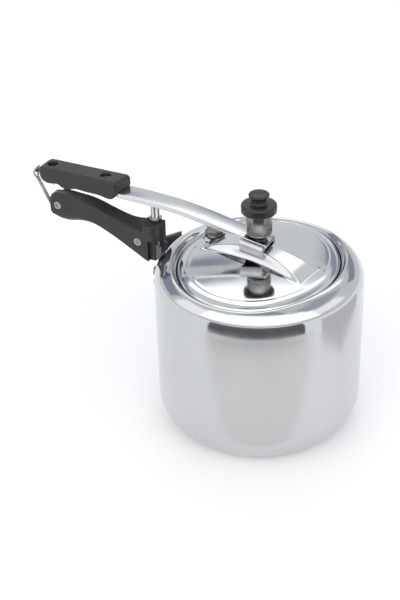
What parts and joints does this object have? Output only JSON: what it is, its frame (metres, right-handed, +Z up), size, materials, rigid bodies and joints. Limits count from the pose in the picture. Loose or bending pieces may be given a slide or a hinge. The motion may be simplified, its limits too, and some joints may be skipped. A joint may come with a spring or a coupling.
{
  "type": "stovetop pressure cooker",
  "caption": "Round aluminium pot with rounded shoulder, inner oval lid hung from a lever bar, two-part black side handle, wire latch and steam weight with a knob.",
  "frame": {"origin": "centre of the pot's flat underside", "axes": "+Z up, the handles run out along -X, +Y across the handles"},
  "size_m": [0.3027, 0.176, 0.2153],
  "materials": {
    "pot_aluminium": "drawn aluminium, satin brushed wall and bright polished shoulder",
    "lid_aluminium": "pressed aluminium, mirror polished",
    "bar_aluminium": "polished bar",
    "bracket_steel": "dark dull plate",
    "fastener_steel": "plated steel",
    "wire_steel": "bright wire",
    "weight_steel": "turned stainless steel",
    "handle_plastic": "moulded black phenolic, satin",
    "gasket_rubber": "black rubber",
    "plug_alloy": "dull soft alloy"
  },
  "bodies": {
    "cooker": {"pot_body": "pot_aluminium", "handle_bracket": "bracket_steel", "bracket_rivets": "fastener_steel", "lower_handle_near": "handle_plastic", "lower_handle_far": "handle_plastic", "lower_handle_screws": "fastener_steel", "lower_handle_nuts": "fastener_steel", "fulcrum_post": "bar_aluminium", "post_washer": "fastener_steel", "latch_pin": "fastener_steel"},
    "latch": {"latch_loop": "wire_steel"},
    "lever": {"lid_bar": "bar_aluminium", "lid_saddle": "bar_aluminium", "upper_handle": "handle_plastic", "upper_handle_screws": "fastener_steel", "upper_handle_nuts": "fastener_steel", "latch_nib": "handle_plastic"},
    "lid": {"lid": "lid_aluminium", "gasket": "gasket_rubber", "vent_tube": "weight_steel", "vent_nut": "fastener_steel", "vent_washer": "gasket_rubber", "vent_spacer": "fastener_steel", "safety_valve_body": "weight_steel", "safety_valve_plug": "plug_alloy", "safety_valve_washer": "gasket_rubber", "safety_valve_nut": "fastener_steel"},
    "weight": {"weight_body": "weight_steel", "weight_knob": "handle_plastic", "weight_screw": "fastener_steel"}
  },
  "joints": [
    {"name": "lever_rock", "type": "hinge", "parent": "cooker", "child": "lever", "pos_m": [-0.096, 0, 0.1846], "axis": [0, 1, 0], "range_deg": [0, 4]},
    {"name": "lid_hang", "type": "hinge", "parent": "lever", "child": "lid", "pos_m": [0, 0, 0.176], "axis": [0, 1, 0], "range_deg": [-4, 0]},
    {"name": "latch_swing", "type": "hinge", "parent": "cooker", "child": "latch", "pos_m": [-0.1915, 0, 0.1675], "axis": [0, -1, 0], "range_deg": [0, 100]},
    {"name": "weight_lift", "type": "slide", "parent": "lid", "child": "weight", "axis": [0, 0, 1], "range_m": [0, 0.03]}
  ],
  "couplings": [
    {"joint": "lid_hang", "follows": "lever_rock", "ratio": -1},
    {"joint": "latch_swing", "follows": "lever_rock", "ratio": 25}
  ]
}
